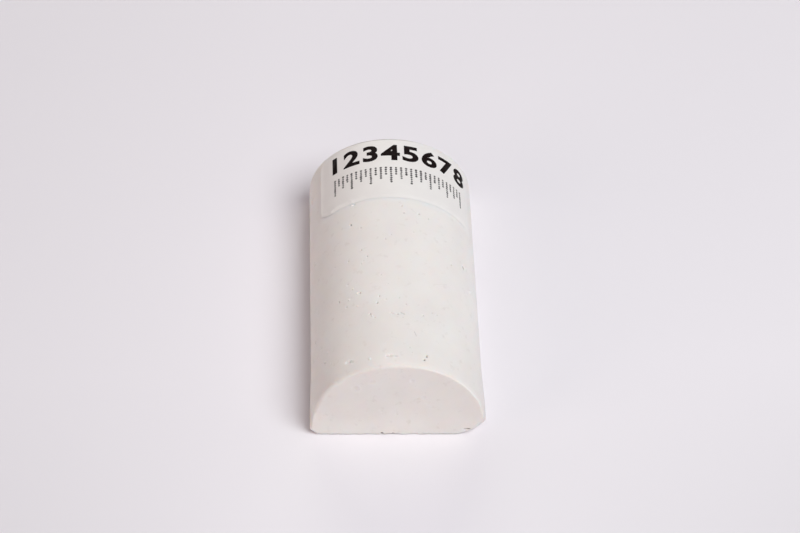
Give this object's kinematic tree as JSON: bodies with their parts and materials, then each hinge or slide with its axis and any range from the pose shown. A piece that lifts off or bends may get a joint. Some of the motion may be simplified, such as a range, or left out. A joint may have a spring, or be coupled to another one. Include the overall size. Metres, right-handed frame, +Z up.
{
  "type": "furniture repair wax stick",
  "caption": "Half-round cast stick of white furniture repair wax on a flat base, with a paper label round one end of its crown.",
  "frame": {"origin": "middle of the flat base, on the surface that the bar rests on", "axes": "+Y along the bar towards its labelled end, +X across the base to the right as seen from the unlabelled end, +Z up through the crown"},
  "size_m": [0.034, 0.0633, 0.0199],
  "materials": {
    "wax": "satin, slightly translucent cast wax",
    "adhesive": "clear pressure-sensitive adhesive",
    "label_paper": "smooth coated paper"
  },
  "bodies": {
    "root": {"wax_bar": "wax", "label_adhesive": "adhesive", "label_sheet": "label_paper"}
  },
  "joints": []
}
